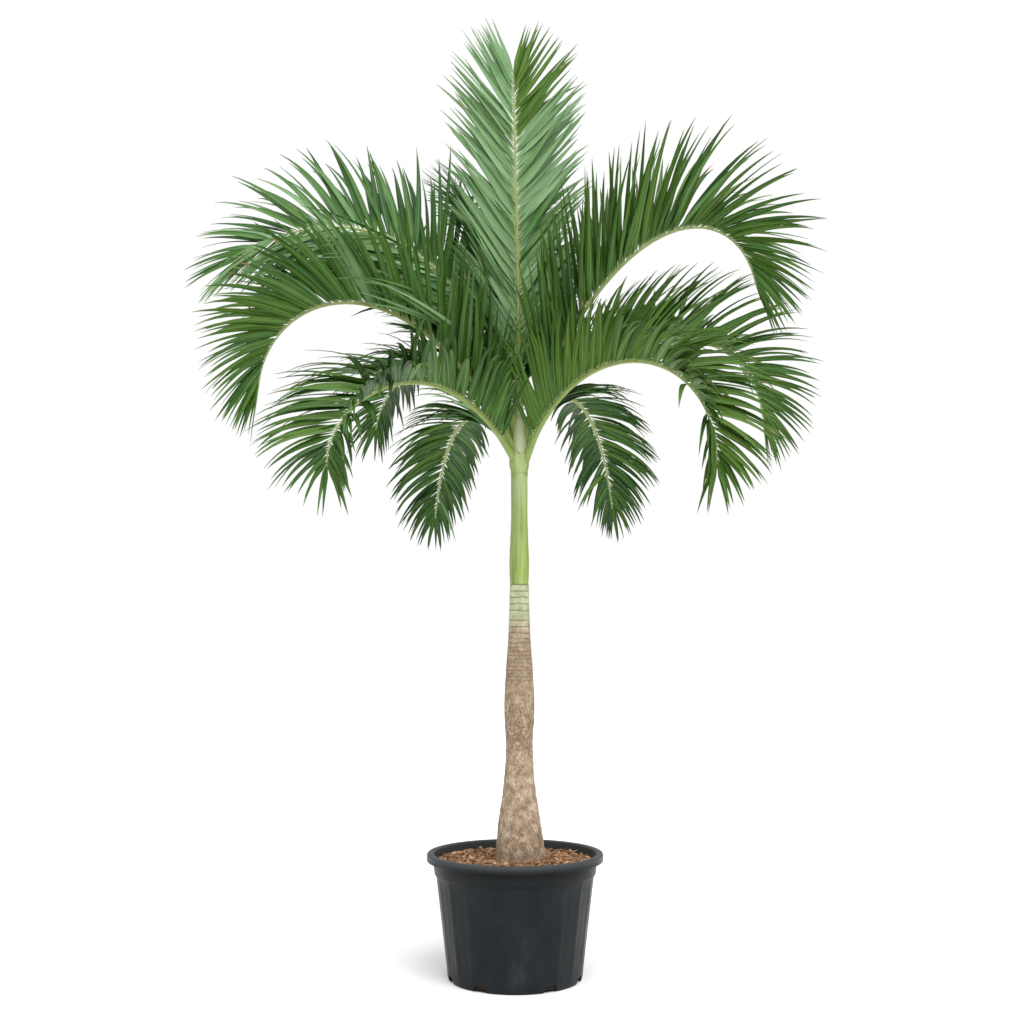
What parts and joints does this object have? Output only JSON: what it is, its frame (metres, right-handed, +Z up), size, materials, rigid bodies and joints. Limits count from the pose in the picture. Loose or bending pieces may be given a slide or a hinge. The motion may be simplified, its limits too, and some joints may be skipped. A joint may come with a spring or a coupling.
{
  "type": "potted palm",
  "caption": "Tall feather palm with a ringed trunk, green crownshaft and arching fronds, growing in bark-topped soil in a round black nursery pot.",
  "frame": {"origin": "centre of the pot's underside, on the floor it stands on", "axes": "+Z up along the trunk, -Y towards the front of the plant, +X to its right"},
  "size_m": [1.5538, 1.037, 2.2446],
  "materials": {
    "pot_plastic": "satin black moulded plastic",
    "soil": "matt crumbly potting mix",
    "mulch": "matt red-brown bark and fibre",
    "bark": "matt pale bark with rings",
    "crownshaft_green": "smooth yellow-green leaf sheath with a whitish bloom",
    "sheath_green": "smooth pale green leaf sheath",
    "stalk_green": "satin yellow-green stalk",
    "leaf_green": "satin green leaf"
  },
  "bodies": {
    "root": {"pot": "pot_plastic", "potting_soil": "soil", "bark_mulch": "mulch", "trunk": "bark", "crownshaft": "crownshaft_green", "inner_sheath": "sheath_green", "frond_01_stalk": "stalk_green", "frond_01_leaflets_left": "leaf_green", "frond_01_leaflets_right": "leaf_green", "frond_02_stalk": "stalk_green", "frond_02_leaflets_left": "leaf_green", "frond_02_leaflets_right": "leaf_green", "frond_03_stalk": "stalk_green", "frond_03_leaflets_left": "leaf_green", "frond_03_leaflets_right": "leaf_green", "frond_04_stalk": "stalk_green", "frond_04_leaflets_left": "leaf_green", "frond_04_leaflets_right": "leaf_green", "frond_05_stalk": "stalk_green", "frond_05_leaflets_left": "leaf_green", "frond_05_leaflets_right": "leaf_green", "frond_06_stalk": "stalk_green", "frond_06_leaflets_left": "leaf_green", "frond_06_leaflets_right": "leaf_green", "frond_07_stalk": "stalk_green", "frond_07_leaflets_left": "leaf_green", "frond_07_leaflets_right": "leaf_green", "frond_08_stalk": "stalk_green", "frond_08_leaflets_left": "leaf_green", "frond_08_leaflets_right": "leaf_green", "frond_09_stalk": "stalk_green", "frond_09_leaflets_left": "leaf_green", "frond_09_leaflets_right": "leaf_green", "frond_10_stalk": "stalk_green", "frond_10_leaflets_left": "leaf_green", "frond_10_leaflets_right": "leaf_green", "frond_11_stalk": "stalk_green", "frond_11_leaflets_left": "leaf_green", "frond_11_leaflets_right": "leaf_green", "frond_12_stalk": "stalk_green", "frond_12_leaflets_left": "leaf_green", "frond_12_leaflets_right": "leaf_green"}
  },
  "joints": []
}
